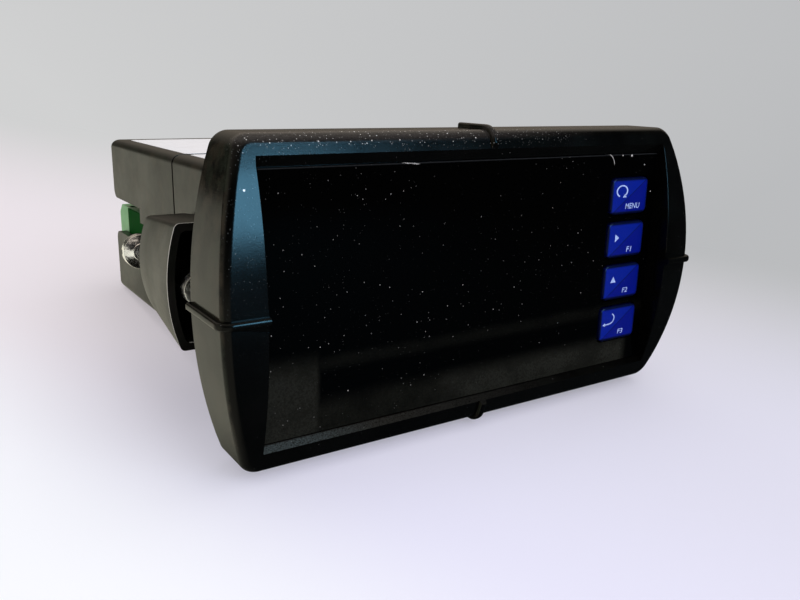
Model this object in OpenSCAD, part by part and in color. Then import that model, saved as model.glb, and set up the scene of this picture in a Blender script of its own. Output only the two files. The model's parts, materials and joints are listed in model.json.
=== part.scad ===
// Digital panel meter with a bowed front bezel, four keys, clamp brackets and plug-in terminals.
// Millimetres. X runs across the front, Y into the panel and Z up.
// The origin is the centre of the panel cut-out, on the plane where the gasket meets the panel.

/* [Bezel] */
// Width across the middle of the bowed sides
bezel_w = 119; // [114:1:130]
// Height
bezel_h = 62; // [60:1:68]
// Depth from the rear rim to the front at mid height
bezel_d = 15.7; // [15:0.1:19]
// How far the front falls back from mid height to the top edge
front_drop = 5.4; // [3:0.1:6]
// How far each side bows out from its corners
side_bow = 5.3; // [3:0.1:7]
// Radius of the four corners seen from the front
corner_r = 3.6; // [2.4:0.1:6]
// Radius of the edge round the front
edge_r = 1.8; // [0.8:0.1:2.2]
// Thickness of the bezel's outer wall
bezel_wall = 2.2; // [1.6:0.1:2.8]
// Width of the ribs at the middle of each side
rib_w = 1.5; // [0.8:0.1:3]
// Height of those ribs
rib_h = 1; // [0.4:0.1:1.6]

/* [Window] */
// Width of the frame on each side of the window lens
frame_w = 8.7; // [8:0.1:10]
// Height of the frame above and below the window lens
frame_h = 5.8; // [5.3:0.1:7]
// Thickness of the window lens
lens_t = 1.5; // [1:0.1:2]
// How far the lens lies behind the front at mid height
lens_recess = 5.3; // [4.8:0.1:5.8]
// Fall of the sloping walls above and below the lens, for each millimetre of their depth
recess_slope = 1.83; // [1:0.01:2.4]

/* [Keys] */
// Width of a key
key_w = 12.1; // [9:0.1:13]
// Height of a key
key_h = 8.5; // [6:0.1:8.6]
// Distance between key centres
key_pitch = 10.25; // [10:0.05:11]
// Distance from the window's right edge to the middle of the keys
key_side = 8.8; // [8:0.2:12]
// How far the row of keys lies above the middle of the meter
key_rise = 0.2; // [-0.4:0.1:0.4]
// How far a key stands out of the lens
key_proud = 0.5; // [0.5:0.1:1.2]
// Travel of a key
key_travel = 0.5; // [0.3:0.1:0.6]

/* [Case] */
// Width of the case behind the panel
case_w = 91.2; // [88:0.2:95]
// Height of the case behind the panel
case_h = 44.6; // [43:0.2:47]
// Wall of the case
case_wall = 2.2; // [1.8:0.1:2.6]
// Distance from the panel to the rear of the case
case_len = 107; // [103:1:125]
// Distance from the panel to the parting line of the two case halves
joint_y = 50.4; // [46:0.2:54]
// Width of the parting line
joint_gap = 0.4; // [0.2:0.1:0.8]
// Radius of the long edges of the case
case_r = 2.2; // [1:0.1:3]
// Thickness of the flange that carries the bezel
flange_t = 2.2; // [1.6:0.1:2.6]
// Thickness of the gasket
gasket_t = 1.2; // [0.8:0.1:1.6]

/* [Rear channel] */
// Where the channel for the terminals starts
channel_y = 81; // [79:1:84]
// Height of the channel's roof above the centre
channel_top = 5.5; // [5:0.1:7]
// Depth of the channel's open sides below the centre
channel_low = 4.5; // [3:0.1:6]
// Depth of the terminal well between the cheeks, below the centre
well_low = 9; // [8.6:0.1:10]

/* [Brackets] */
// Distance from the panel to the open front of a bracket
bracket_y = 12; // [11:0.5:16]
// Length of a bracket
bracket_len = 27; // [22:1:32]
// How far a bracket stands out from the side of the case
bracket_out = 14.2; // [13.6:0.1:16]
// Height of a bracket at its open front
bracket_h = 25.6; // [23:0.2:30]
// Height of a bracket at its closed end
bracket_rear_h = 20.6; // [18:0.2:24]
// Wall of a bracket
bracket_wall = 1.4; // [1:0.1:1.8]
// Distance from the side of the case to the middle of a clamp screw
screw_out = 8.4; // [7.9:0.1:8.8]
// Radius of a clamp screw
screw_r = 2; // [1.5:0.1:2.1]
// Length of a clamp screw under its head
screw_len = 39.5; // [36:0.5:50]
// Radius of a clamp screw's head
head_r = 4.1; // [3.4:0.1:4.6]
// Radius of the pad that presses on the panel
pad_r = 3.3; // [3:0.1:3.8]
// Clearance between parts that slide on each other
slide_gap = 0.3; // [0.2:0.05:0.4]

/* [Terminals] */
// Distance between terminal screws
pitch = 5.08; // [4.8:0.01:5.1]
// Gap between neighbouring plugs
plug_gap = 2.5; // [1:0.1:2.6]
// How far the plugs stand out behind the case
plug_out = 4.6; // [2:0.2:12]
// Height of the plugs
plug_h = 11; // [9.6:0.1:11.4]

/* [Hidden] */
$fn = 48;
fine = 150;
over = 1;
far = 200;
lens_w = bezel_w - 2 * frame_w;
lens_h = bezel_h - 2 * frame_h;
// Places along Y, from the panel forwards
rim_y = -gasket_t / 2;
front_y = rim_y - bezel_d;
lens_y = front_y + lens_recess;
lens_back = lens_y + lens_t;
flange_y = -gasket_t - flange_t;
board_t = 1.6;
board_y = flange_y - board_t;
shelf_t = 1.2;
shelf_y = lens_back + shelf_t;
fit_gap = 0.2;
// A circle through the ends and the middle of a bow
function bow_r(chord, rise) = (chord * chord / 4 + rise * rise) / (2 * rise);
side_r = bow_r(bezel_h, side_bow);
front_r = bow_r(bezel_h, front_drop);
// Keys
key_count = 4;
key_x = lens_w / 2 - key_side;
key_z0 = (key_count - 1) / 2 * key_pitch + key_rise;
key_flange_w = 0.7;
key_flange_t = 0.8;
key_back = lens_back + slide_gap;
key_rear = key_back + key_flange_t;
switch_y = key_rear + key_travel + fit_gap;
// Case
front_end = joint_y - joint_gap / 2;
rear_start = joint_y + joint_gap / 2;
cavity_w = case_w - 2 * case_wall;
lip_len = 4;
lip_t = 1.2;
tongue_in = 3;
groove_y = bracket_y + tongue_in - slide_gap;
groove_neck_h = 3;
groove_neck_d = 1;
groove_h = 5.6;
groove_d = 2.2;
groove_wall = 1.6;
boss_x = case_w / 2 - groove_d - groove_wall;
boss_h = groove_h + 3.6;
// Boards
pcb_w = case_w - 2 * (case_wall + lip_t + fit_gap) - 2 * slide_gap;
pcb_top = -well_low + 0.8;
pcb_end = channel_y - case_wall - 0.4;
rail_h = 1.1;
rail_d = (cavity_w - pcb_w) / 2 + 1;
// What stands on the boards
display_x = -8;
main_digit = [12.4, 19];
main_digit_z = 8.6;
lower_digit = [9.2, 13.4];
lower_digit_z = -11.4;
switch_w = 6;
connector_w = 32;
connector_h = 6;
supply_y = joint_y + 1.6;
transformer_at = [-23, supply_y];
core_w = 30;
core_h = 24;
core_t = 13;
relay_size = [12.4, 18, 15.4];
relay_x = [10, 26];
capacitor_y = 26;
capacitor_list = [[-28, 6.3, 20], [-12, 5, 16], [2, 4, 12]];
// Terminals: the power and input plugs have 3 and 6 ways, and the output plug has those left over
header_side = 0.2;
way_count = floor((cavity_w - 2 * header_side - 2 * plug_gap) / pitch);
ways = [3, 6, way_count - 9];
plug_base = pcb_top;
block_w = (ways[0] + ways[1] + ways[2]) * pitch + 2 * plug_gap;
header_y = channel_y - 12;
header_step = channel_y - case_wall - 0.1;
header_inset = 1.8;
header_end = channel_y + 9;
plug_y = header_end + 0.4;
plug_end = case_len + plug_out;
socket_d = 7;
term_y = plug_end - 9;
term_r = 1.7;
term_head = 1.6;
term_sunk = 1;
term_floor = 2;
entry = 3.4;
function way_start(k) = -block_w / 2 + (k > 0 ? ways[0] * pitch + plug_gap : 0)
    + (k > 1 ? ways[1] * pitch + plug_gap : 0);
// Brackets and screws
bracket_x = case_w / 2 + bracket_out;
screw_x = case_w / 2 + screw_out;
bracket_end = bracket_y + bracket_len;
base_x = case_w / 2 + slide_gap;
boss_len = bracket_len - 10;
thread_gap = 0.05;
head_t = 3;
pad_cup = 0.3;
pad_floor = 0.7;
pad_t = 3.3;
pad_y = bracket_y - 2.5;
tip_y = pad_y + pad_cup + pad_floor + thread_gap;
tip_len = pad_y + pad_t + thread_gap - tip_y;
tip_r = screw_r - 0.5;

// ---- Helpers ----

// Extrudes an outline seen from the front, from y0 to y1
module along_y(y0, y1) {
    translate([0, y1, 0]) rotate([90, 0, 0]) linear_extrude(y1 - y0) children();
}

// Extrudes a side profile, drawn with Y across and Z up, to width w about the middle
module along_x(w) {
    rotate([90, 0, 90]) linear_extrude(w, center = true) children();
}

// Rounds the outer corners of a flat shape
module rounded(r) {
    offset(r = r) offset(delta = -r) children();
}

module rounded_box(w, h, r) {
    rounded(r) square([w, h], center = true);
}

// A box from one corner to the other
module span(a, b) {
    translate(a) cube(b - a);
}

module both_sides() {
    children();
    mirror([1, 0, 0]) children();
}

// ---- Bezel, gasket and window ----

// Front outline: straight top and bottom, bowed sides
module bezel_outline(inset = 0) {
    offset(delta = -inset) intersection() {
        square([bezel_w + 2 * over, bezel_h], center = true);
        translate([side_r - bezel_w / 2, 0]) circle(side_r, $fn = 2 * fine);
        translate([bezel_w / 2 - side_r, 0]) circle(side_r, $fn = 2 * fine);
    }
}

// The round of the front, about an axis across the meter
module front_bow(inset = 0) {
    translate([0, front_y + front_r, 0]) rotate([0, 90, 0])
        cylinder(h = far, r = front_r - inset, center = true, $fn = fine);
}

module behind_rim() {
    span([-far / 2, -far / 2, -far / 2], [far / 2, rim_y, far / 2]);
}

// The moulding without its hollows, rounded along every front edge
module bezel_blank() {
    intersection() {
        minkowski() {
            intersection() {
                along_y(front_y - over, 2 * edge_r)
                    rounded(corner_r - edge_r) bezel_outline(edge_r);
                front_bow(edge_r);
            }
            sphere(r = edge_r, $fn = 20);
        }
        behind_rim();
    }
}

// Outline of the meter's own section at mid width, for the ribs over the top and bottom
module side_profile() {
    rounded(edge_r) intersection() {
        translate([front_y, -bezel_h / 2]) square([bezel_d + 2 * edge_r, bezel_h]);
        translate([front_y + front_r, 0]) circle(front_r, $fn = fine);
    }
}

// The same at mid height, for the ribs round the sides
module plan_profile() {
    rounded(edge_r)
        translate([-bezel_w / 2, front_y]) square([bezel_w, bezel_d + 2 * edge_r]);
}

module bezel_ribs() {
    for (step = [[1, 0.6], [0.6, 1]]) {
        along_x(rib_w * step[0]) offset(r = rib_h * step[1]) side_profile();
        linear_extrude(rib_w * step[0], center = true) offset(r = rib_h * step[1]) plan_profile();
    }
}

module window_recess() {
    opening = lens_h + 2 * fit_gap;
    reach = 9;
    flare = opening / 2 + reach * recess_slope;
    along_x(lens_w + 4 * fit_gap) polygon([[lens_y, -opening / 2], [lens_y - reach, -flare],
        [lens_y - reach, flare], [lens_y, opening / 2]]);
}

// The hollow behind each bowed side of the front
module side_hollows() {
    intersection() {
        along_y(front_y, flange_y + over) bezel_outline(bezel_wall);
        front_bow(bezel_wall);
        both_sides()
            span([lens_w / 2 + bezel_wall, front_y, -far], [far, flange_y + over, far]);
    }
}

module bezel() {
    color("#1b1b1d") difference() {
        union() {
            bezel_blank();
            intersection() {
                bezel_ribs();
                behind_rim();
            }
        }
        window_recess();
        along_y(lens_y - over, lens_back) square([lens_w, lens_h] + [1, 1] * 2 * fit_gap, center = true);
        along_y(lens_y, shelf_y + over) square([lens_w - 3, lens_h - 4], center = true);
        along_y(shelf_y, flange_y + over) square([lens_w - 0.8, lens_h + 2.4], center = true);
        along_y(flange_y, rim_y + over) bezel_outline(bezel_wall);
        side_hollows();
    }
}

module panel_gasket() {
    color("#2a2a2c") along_y(-gasket_t, 0) difference() {
        bezel_outline(bezel_wall + fit_gap);
        rounded_box(case_w + 0.4, case_h + 0.4, case_r);
    }
}

module key_hole(k, grow) {
    translate([key_x, key_z0 - k * key_pitch]) rounded_box(key_w + 2 * grow, key_h + 2 * grow, 1.6);
}

module window_lens() {
    color("#0a0a0b") along_y(lens_y, lens_back) difference() {
        rounded_box(lens_w, lens_h, 0.6);
        for (k = [0 : key_count - 1]) key_hole(k, slide_gap);
    }
}

// ---- Keys and the display board ----

module key(k) {
    color("#1d3fc4") union() {
        translate([key_x, 0, key_z0 - k * key_pitch]) hull() {
            along_y(lens_y - key_proud, lens_back) rounded_box(key_w - 0.6, key_h - 0.6, 1.4);
            along_y(lens_y - key_proud + 0.3, lens_back) rounded_box(key_w, key_h, 1.6);
        }
        along_y(lens_back - over, key_rear) key_hole(k, 0);
        along_y(key_back, key_rear) translate([key_x, key_z0 - k * key_pitch])
            square([key_w + 2 * key_flange_w, key_h + key_flange_w], center = true);
    }
}

module menu_key() {
    key(0);
}

module right_key() {
    key(1);
}

module up_key() {
    key(2);
}

module enter_key() {
    key(3);
}

module key_switches() {
    body_t = 1.4;
    color("#3c3c40") for (k = [0 : key_count - 1])
        translate([key_x, 0, key_z0 - k * key_pitch]) {
            along_y(board_y - body_t, board_y) rounded_box(switch_w, switch_w, 0.8);
            along_y(switch_y, board_y - body_t) circle(1.7);
        }
}

module display_board() {
    color("#2c5c36") along_y(board_y, flange_y) difference() {
        rounded_box(lens_w - 1.6, lens_h + 1.6, 2);
        for (x = [-1, 1], z = [-1, 1])
            translate([x * (lens_w / 2 - 4), z * (lens_h / 2 - 3)]) circle(1.3);
    }
}

// A row of seven-segment digits in one housing, with a step in front for each digit
module digit_row(count, w, h, x, z) {
    translate([x, 0, z]) {
        along_y(lens_back + 0.6, board_y) square([count * w, h], center = true);
        for (k = [0 : count - 1])
            translate([(k - (count - 1) / 2) * w, 0, 0])
                along_y(lens_back + 0.2, lens_back + 0.6) rounded_box(w - 0.8, h - 0.8, 0.6);
    }
}

module main_display() {
    color("#2b1210") digit_row(6, main_digit[0], main_digit[1], display_x, main_digit_z);
}

module lower_display() {
    color("#2b1210") digit_row(6, lower_digit[0], lower_digit[1], display_x, lower_digit_z);
}

// ---- Case ----

module case_outline(inset = 0) {
    offset(delta = -inset) rounded_box(case_w, case_h, case_r);
}

// T-shaped groove in the left side that a bracket slides in
module groove_section(gap = 0) {
    x = -case_w / 2;
    translate([x - over, -groove_neck_h / 2 + gap])
        square([over + groove_neck_d + 2 * gap, groove_neck_h - 2 * gap]);
    translate([x + groove_neck_d + gap, -groove_h / 2 + gap])
        square([groove_d - groove_neck_d - 2 * gap, groove_h - 2 * gap]);
}

module groove_bosses(y0, y1) {
    both_sides() span([boss_x, y0, -boss_h / 2], [case_w / 2 - case_wall / 2, y1, boss_h / 2]);
}

module board_rails(y0, y1) {
    both_sides() for (z = [pcb_top - board_t - fit_gap - rail_h, pcb_top + fit_gap])
        span([cavity_w / 2 - rail_d, y0, z], [cavity_w / 2 + case_wall / 2, y1, z + rail_h]);
}

module front_case() {
    color("#232325") difference() {
        union() {
            difference() {
                along_y(flange_y, front_end) case_outline();
                along_y(flange_y - over, front_end + over) case_outline(case_wall);
            }
            along_y(flange_y, -gasket_t) difference() {
                bezel_outline(bezel_wall + fit_gap);
                case_outline(case_wall);
            }
            groove_bosses(groove_y - 4, front_end);
            board_rails(4, front_end - lip_len - 2);
        }
        both_sides() along_y(groove_y, front_end + over) groove_section();
    }
}

// Side profile of the rear half: two bays with the terminal channel between them
module rear_profile() {
    top = case_h / 2;
    rounded(2.6) polygon([[joint_y - 8, -top], [case_len, -top], [case_len, -channel_low],
        [channel_y, -channel_low], [channel_y, channel_top], [case_len, channel_top],
        [case_len, top], [joint_y - 8, top]]);
}

// The same inside, where the lower bay stops under the terminal well
module rear_cavity() {
    top = case_h / 2 - case_wall;
    wall_y = channel_y - case_wall;
    end = case_len - case_wall;
    polygon([[joint_y - 8, -top], [end, -top], [end, -well_low - case_wall],
        [wall_y, -well_low - case_wall], [wall_y, channel_top + case_wall],
        [end, channel_top + case_wall], [end, top], [joint_y - 8, top]]);
}

module lip() {
    difference() {
        union() {
            along_y(rear_start, rear_start + lip_len) case_outline(case_wall / 2);
            along_y(rear_start - lip_len, rear_start + over) case_outline(case_wall + fit_gap);
        }
        along_y(rear_start - lip_len - over, rear_start + lip_len + over)
            case_outline(case_wall + fit_gap + lip_t);
        both_sides() span([boss_x - 2, rear_start - lip_len - over, -boss_h / 2 - fit_gap],
            [far, rear_start, boss_h / 2 + fit_gap]);
    }
}

module rear_case() {
    color("#232325") difference() {
        union() {
            difference() {
                intersection() {
                    along_x(case_w) rear_profile();
                    along_y(rear_start, case_len) case_outline();
                }
                along_x(cavity_w) rear_cavity();
            }
            lip();
            groove_bosses(rear_start, header_step - 0.3);
        }
        both_sides() along_y(rear_start - over, channel_y + over) groove_section();
        span([-block_w / 2 - 0.3, channel_y, -well_low], [block_w / 2 + 0.3, far, 0]);
        span([-block_w / 2 - 0.3, channel_y - 2 * case_wall, -well_low],
            [block_w / 2 + 0.3, far, plug_base + plug_h + 0.4]);
    }
}

// ---- Brackets and clamp screws, drawn on the left ----

// Section of a bracket: flat against the case, bowed outwards
module hood_section(h, reach, inset) {
    r = bow_r(h, 2.2);
    rounded(1.2) intersection() {
        translate([-reach, -h / 2]) translate([inset, inset])
            square([reach - base_x + (inset > 0 ? over : 0), h - 2 * inset]);
        translate([r - reach, 0]) circle(r - inset, $fn = fine);
    }
}

module hood(inset, y0, y1) {
    hull() {
        along_y(y0, y0 + 0.01) hood_section(bracket_h, bracket_x, inset);
        along_y(y1 - 0.01, y1) hood_section(bracket_rear_h, bracket_x - 2.2, inset);
    }
}

module bracket() {
    rear_wall = 2.4;
    base_t = 1.4;
    boss_r = screw_r + 1.5;
    union() {
        difference() {
            union() {
                difference() {
                    hood(0, bracket_y, bracket_end);
                    hood(bracket_wall, bracket_y - over, bracket_end - rear_wall);
                }
                intersection() {
                    union() {
                        span([-base_x - base_t, bracket_y + 2, -far], [-base_x, bracket_end, far]);
                        translate([-screw_x, bracket_end, 0]) rotate([90, 0, 0])
                            cylinder(h = boss_len, r = boss_r);
                        span([-screw_x, bracket_end - boss_len, -0.8], [-base_x, bracket_end, 0.8]);
                    }
                    hood(0.2, bracket_y, bracket_end);
                }
            }
            translate([-screw_x, bracket_end + over, 0]) rotate([90, 0, 0])
                cylinder(h = bracket_len, r = screw_r + thread_gap);
        }
        along_y(bracket_y + tongue_in, bracket_end) intersection() {
            groove_section(slide_gap);
            translate([-base_x, -far / 2]) square([far, far]);
        }
    }
}

// The screw's slotted head, shank and turned-down tip, along +Y from the origin of its tip
module clamp_screw() {
    bevel = 0.8;
    translate([-screw_x, tip_y, 0]) rotate([-90, 0, 0]) difference() {
        rotate_extrude() polygon([[0, 0], [tip_r, 0], [tip_r, tip_len], [screw_r, tip_len],
            [screw_r, screw_len], [head_r, screw_len], [head_r, screw_len + head_t - bevel],
            [head_r - bevel, screw_len + head_t], [0, screw_len + head_t]]);
        translate([-far / 2, -0.5, screw_len + head_t - 1.4]) cube([far, 1, far]);
    }
}

// The pad turns on the screw's tip and has a shallow cup in front
module clamp_pad() {
    hole_r = tip_r + thread_gap;
    floor_y = pad_cup + pad_floor;
    bevel = 0.7;
    translate([-screw_x, pad_y, 0]) rotate([-90, 0, 0]) rotate_extrude()
        polygon([[0, pad_cup], [pad_r - bevel, pad_cup], [pad_r - bevel, 0], [pad_r, 0],
            [pad_r, pad_t - bevel], [pad_r - bevel, pad_t], [hole_r, pad_t], [hole_r, floor_y],
            [0, floor_y]]);
}

module left_bracket() {
    color("#262627") bracket();
}

module right_bracket() {
    color("#262627") mirror([1, 0, 0]) bracket();
}

module left_clamp_screw() {
    color("silver") clamp_screw();
}

module right_clamp_screw() {
    color("silver") mirror([1, 0, 0]) clamp_screw();
}

module left_clamp_pad() {
    color("darkgray") clamp_pad();
}

module right_clamp_pad() {
    color("darkgray") mirror([1, 0, 0]) clamp_pad();
}

// ---- Boards and what they carry ----

module main_board() {
    color("#2c5c36") span([-pcb_w / 2, 0, pcb_top - board_t], [pcb_w / 2, pcb_end, pcb_top]);
}

module board_connector() {
    color("#d8d4c4") difference() {
        span([-connector_w / 2, flange_y, pcb_top], [connector_w / 2, 5, pcb_top + connector_h]);
        span([1.2 - connector_w / 2, flange_y - over, pcb_top + 1.6],
            [connector_w / 2 - 1.2, -1, pcb_top + connector_h - 1.6]);
    }
}

// Shell core with its two windows
module transformer_core() {
    color("#77736c") translate([transformer_at[0], transformer_at[1], pcb_top + 1 + core_h / 2])
        along_y(-core_t / 2, core_t / 2) difference() {
            square([core_w, core_h], center = true);
            for (side = [-1, 1]) translate([side * core_w / 4, 0])
                square([core_w / 4, core_h - core_w / 4], center = true);
        }
}

// The winding round the middle leg, on a bobbin with feet
module transformer_coil() {
    at = [transformer_at[0], transformer_at[1], pcb_top + 1 + core_h / 2];
    wide = core_w * 0.74;
    color("#c9a227") difference() {
        union() {
            translate(at) linear_extrude(core_h - core_w / 4 - 0.4, center = true)
                rounded(3) square([wide, core_t + core_w / 2 - 2], center = true);
            for (side = [-1, 1])
                translate([at[0], at[1] + side * (core_t / 2 + 3.4), pcb_top])
                    linear_extrude(core_w / 4 + 2) square([wide, 3.2], center = true);
        }
        translate(at) cube([core_w / 4, core_t, far], center = true);
        for (side = [-1, 1])
            translate(at + [side * (core_w / 2 - core_w / 16), 0, 0])
                cube([core_w / 8 + 0.4, core_t + 0.4, far], center = true);
    }
}

module relays() {
    color("#2d4f8f") for (x = relay_x)
        translate([x, supply_y, pcb_top]) along_y(-relay_size[1] / 2, relay_size[1] / 2)
            translate([0, relay_size[2] / 2]) rounded_box(relay_size[0], relay_size[2], 0.8);
}

module capacitor(r, h) {
    rotate_extrude() polygon([[0, 0], [r - 0.4, 0], [r, 0.4], [r, 1.6], [r - 0.35, 2], [r, 2.4],
        [r, h - 0.5], [r - 0.5, h], [r - 1.2, h], [r - 1.4, h - 0.25], [0, h - 0.25]]);
}

module capacitors() {
    color("#20242c") for (c = capacitor_list)
        translate([c[0], capacitor_y, pcb_top]) capacitor(c[1], c[2]);
}

// ---- Terminals ----

// Fixed header: a narrow foot soldered to the board, and a box open to the rear for its plug
module header(k) {
    x0 = way_start(k);
    x1 = x0 + ways[k] * pitch;
    top = plug_base + plug_h;
    color("#1f6b3a") difference() {
        union() {
            span([x0 + header_inset, header_y, plug_base], [x1 - header_inset, header_end, top - 2]);
            span([x0, header_step, plug_base], [x1, header_end, top]);
        }
        span([x0 + 0.9, header_end - socket_d - slide_gap, plug_base + 1.2],
            [x1 - 0.9, header_end + over, top - 1.8]);
    }
    color("silver") for (n = [0 : ways[k] - 1])
        span([x0 + (n + 0.5) * pitch - 0.5, header_end - socket_d - 1, plug_base + plug_h / 2 - 0.9],
            [x0 + (n + 0.5) * pitch + 0.5, header_end - 2, plug_base + plug_h / 2 + 0.1]);
}

// Plug: wires enter from the rear and screws clamp them from above
module plug(k) {
    x0 = way_start(k);
    x1 = x0 + ways[k] * pitch;
    top = plug_base + plug_h;
    mid = [(x0 + x1) / 2, 0, 0];
    color("#2f9a55") difference() {
        union() {
            translate(mid) along_x(x1 - x0) polygon([[plug_y, plug_base + 0.3],
                [plug_end, plug_base + 0.3], [plug_end, top - 2.4], [plug_end - 2.6, top],
                [plug_y, top]]);
            span([x0 + 1.2, header_end - socket_d, plug_base + 1.5],
                [x1 - 1.2, plug_y + over, top - 2.1]);
        }
        for (n = [0 : ways[k] - 1]) translate([x0 + (n + 0.5) * pitch, 0, 0]) {
            translate([0, term_y, plug_base + term_floor]) cylinder(h = far, r = term_r + 0.25);
            along_y(plug_end - 12, plug_end + over)
                translate([0, plug_base + 3.4]) square([entry, entry], center = true);
            span([-0.7, header_end - socket_d - over, plug_base + plug_h / 2 - 1.1],
                [0.7, plug_y - 0.6, plug_base + plug_h / 2 + 0.3]);
        }
    }
}

// Slotted clamp screws, one at each way, standing on the floor of their wells
module terminal_screws(k) {
    top = plug_base + plug_h;
    color("silver") for (n = [0 : ways[k] - 1])
        translate([way_start(k) + (n + 0.5) * pitch, term_y, 0]) difference() {
            union() {
                translate([0, 0, top - term_sunk - term_head]) cylinder(h = term_head, r = term_r);
                translate([0, 0, plug_base + term_floor])
                    cylinder(h = plug_h - term_floor - term_sunk - term_head / 2, r = term_r - 0.5);
            }
            translate([-far / 2, -0.25, top - term_sunk - 0.7]) cube([far, 0.5, far]);
        }
}

module power_header() {
    header(0);
}

module input_header() {
    header(1);
}

module output_header() {
    header(2);
}

module power_plug() {
    plug(0);
}

module input_plug() {
    plug(1);
}

module output_plug() {
    plug(2);
}

module power_screws() {
    terminal_screws(0);
}

module input_screws() {
    terminal_screws(1);
}

module output_screws() {
    terminal_screws(2);
}

bezel();
panel_gasket();
window_lens();
menu_key();
right_key();
up_key();
enter_key();
key_switches();
display_board();
main_display();
lower_display();
front_case();
rear_case();
left_bracket();
right_bracket();
left_clamp_screw();
right_clamp_screw();
left_clamp_pad();
right_clamp_pad();
main_board();
board_connector();
transformer_core();
transformer_coil();
relays();
capacitors();
power_header();
input_header();
output_header();
power_plug();
input_plug();
output_plug();
power_screws();
input_screws();
output_screws();
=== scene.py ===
# %% [markdown]
# # A digital panel meter
#
# A panel meter is a small instrument that is pushed into a rectangular hole in a panel. All that is
# seen of it in use is its bowed front, with a black window and four blue keys. Behind the panel are a
# plain black case, two brackets whose long screws press against the panel, and plug-in terminals.
#
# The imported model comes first. It gives each piece its size and place, and nothing here changes them.

import json
import math

import bpy
from mathutils import Matrix, Vector

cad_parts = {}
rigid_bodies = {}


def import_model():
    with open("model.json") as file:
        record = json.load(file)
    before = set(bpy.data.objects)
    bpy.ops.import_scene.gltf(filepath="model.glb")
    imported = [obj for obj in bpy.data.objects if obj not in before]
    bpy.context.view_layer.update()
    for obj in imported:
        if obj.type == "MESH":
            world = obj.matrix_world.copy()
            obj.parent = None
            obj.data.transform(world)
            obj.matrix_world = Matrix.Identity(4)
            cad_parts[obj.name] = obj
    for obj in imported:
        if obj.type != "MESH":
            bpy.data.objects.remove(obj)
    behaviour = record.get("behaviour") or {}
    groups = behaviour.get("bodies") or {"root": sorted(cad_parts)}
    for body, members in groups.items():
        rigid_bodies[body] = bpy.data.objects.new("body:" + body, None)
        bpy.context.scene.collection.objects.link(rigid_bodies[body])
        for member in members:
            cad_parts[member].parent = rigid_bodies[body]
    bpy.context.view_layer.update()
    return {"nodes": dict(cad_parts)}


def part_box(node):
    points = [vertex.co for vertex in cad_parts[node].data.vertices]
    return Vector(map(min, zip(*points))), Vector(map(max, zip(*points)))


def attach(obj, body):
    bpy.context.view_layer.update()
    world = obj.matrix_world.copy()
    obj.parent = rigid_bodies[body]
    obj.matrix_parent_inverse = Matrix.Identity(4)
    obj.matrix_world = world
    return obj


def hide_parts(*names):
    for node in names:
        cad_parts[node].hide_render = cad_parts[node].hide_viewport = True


for item in list(bpy.data.objects):
    bpy.data.objects.remove(item)
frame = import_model()
nodes = frame["nodes"]
mm = 0.001

# %% [markdown]
# Blender's operators act on whatever is selected, so every step starts by choosing one piece and
# dropping the rest. A few small helpers keep that in one place: a block, a cut, and a way to pick
# corners, edges or faces by where they are.

# %% Helpers for modelling


def choose(piece):
    """Selects one piece alone."""
    if bpy.context.object and bpy.context.object.mode == "EDIT":
        bpy.ops.object.mode_set(mode="OBJECT")
    for other in bpy.context.selected_objects:
        other.select_set(False)
    bpy.context.view_layer.objects.active = piece
    piece.select_set(True)
    return piece


def choose_none():
    """Drops every piece, so that a new one is alone in being selected."""
    bpy.ops.object.select_all(action="DESELECT")


def settle(name):
    """Names the new piece and moves its place into its mesh."""
    piece = bpy.context.object
    piece.name = piece.data.name = name
    bpy.ops.object.transform_apply(location=True, rotation=True, scale=True)
    return piece


def block(name, low, high):
    """A box from one corner to the other."""
    low, high = Vector(low), Vector(high)
    choose_none()
    bpy.ops.mesh.primitive_cube_add(size=1, location=(low + high) / 2, scale=high - low)
    return settle(name)


def pick(piece, kind, test):
    """Opens a piece for editing with only those corners, edges or faces selected that pass a test."""
    choose(piece)
    bpy.ops.object.mode_set(mode="EDIT")
    bpy.ops.mesh.select_mode(type=kind)
    bpy.ops.mesh.select_all(action="DESELECT")
    bpy.ops.object.mode_set(mode="OBJECT")
    mesh = piece.data
    for part in {"VERT": mesh.vertices, "EDGE": mesh.edges, "FACE": mesh.polygons}[kind]:
        part.select = bool(test(part))
    bpy.ops.object.mode_set(mode="EDIT")


def close(piece):
    """Ends the editing of a piece."""
    bpy.ops.object.mode_set(mode="OBJECT")
    return piece


def enlarge(factor, *pieces):
    """Scales meshes about the origin, because bevels and cuts lose precision on tiny pieces."""
    for piece in pieces:
        piece.data.transform(Matrix.Scale(factor, 4))
        piece.data.update()


def round_edges(piece, width, where=lambda a, b: True, segments=4, sharp=35):
    """Rounds the creases of a piece, where the faces on both sides turn by more than an angle."""
    mesh = piece.data
    beside = {}
    for face in mesh.polygons:
        for key in face.edge_keys:
            beside.setdefault(key, []).append(face.normal.copy())
    limit = math.radians(sharp)

    def crease(edge):
        sides = beside.get(tuple(sorted(edge.vertices)), [])
        a, b = (mesh.vertices[i].co for i in edge.vertices)
        return len(sides) == 2 and sides[0].angle(sides[1], 0) > limit and where(a, b)

    pick(piece, "EDGE", crease)
    enlarge(1000, close(piece))
    bpy.ops.object.mode_set(mode="EDIT")
    bpy.ops.mesh.bevel(
        offset=width * 1000, segments=segments, profile=0.5, affect="EDGES",
        clamp_overlap=False, loop_slide=False,
    )
    enlarge(0.001, close(piece))
    return piece


def apply_modifier(piece, kind, **settings):
    """Puts a modifier on a piece and applies it at once."""
    choose(piece)
    modifier = piece.modifiers.new(kind.lower(), kind)
    for key, value in settings.items():
        setattr(modifier, key, value)
    bpy.ops.object.modifier_apply(modifier=modifier.name)
    return piece


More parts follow.
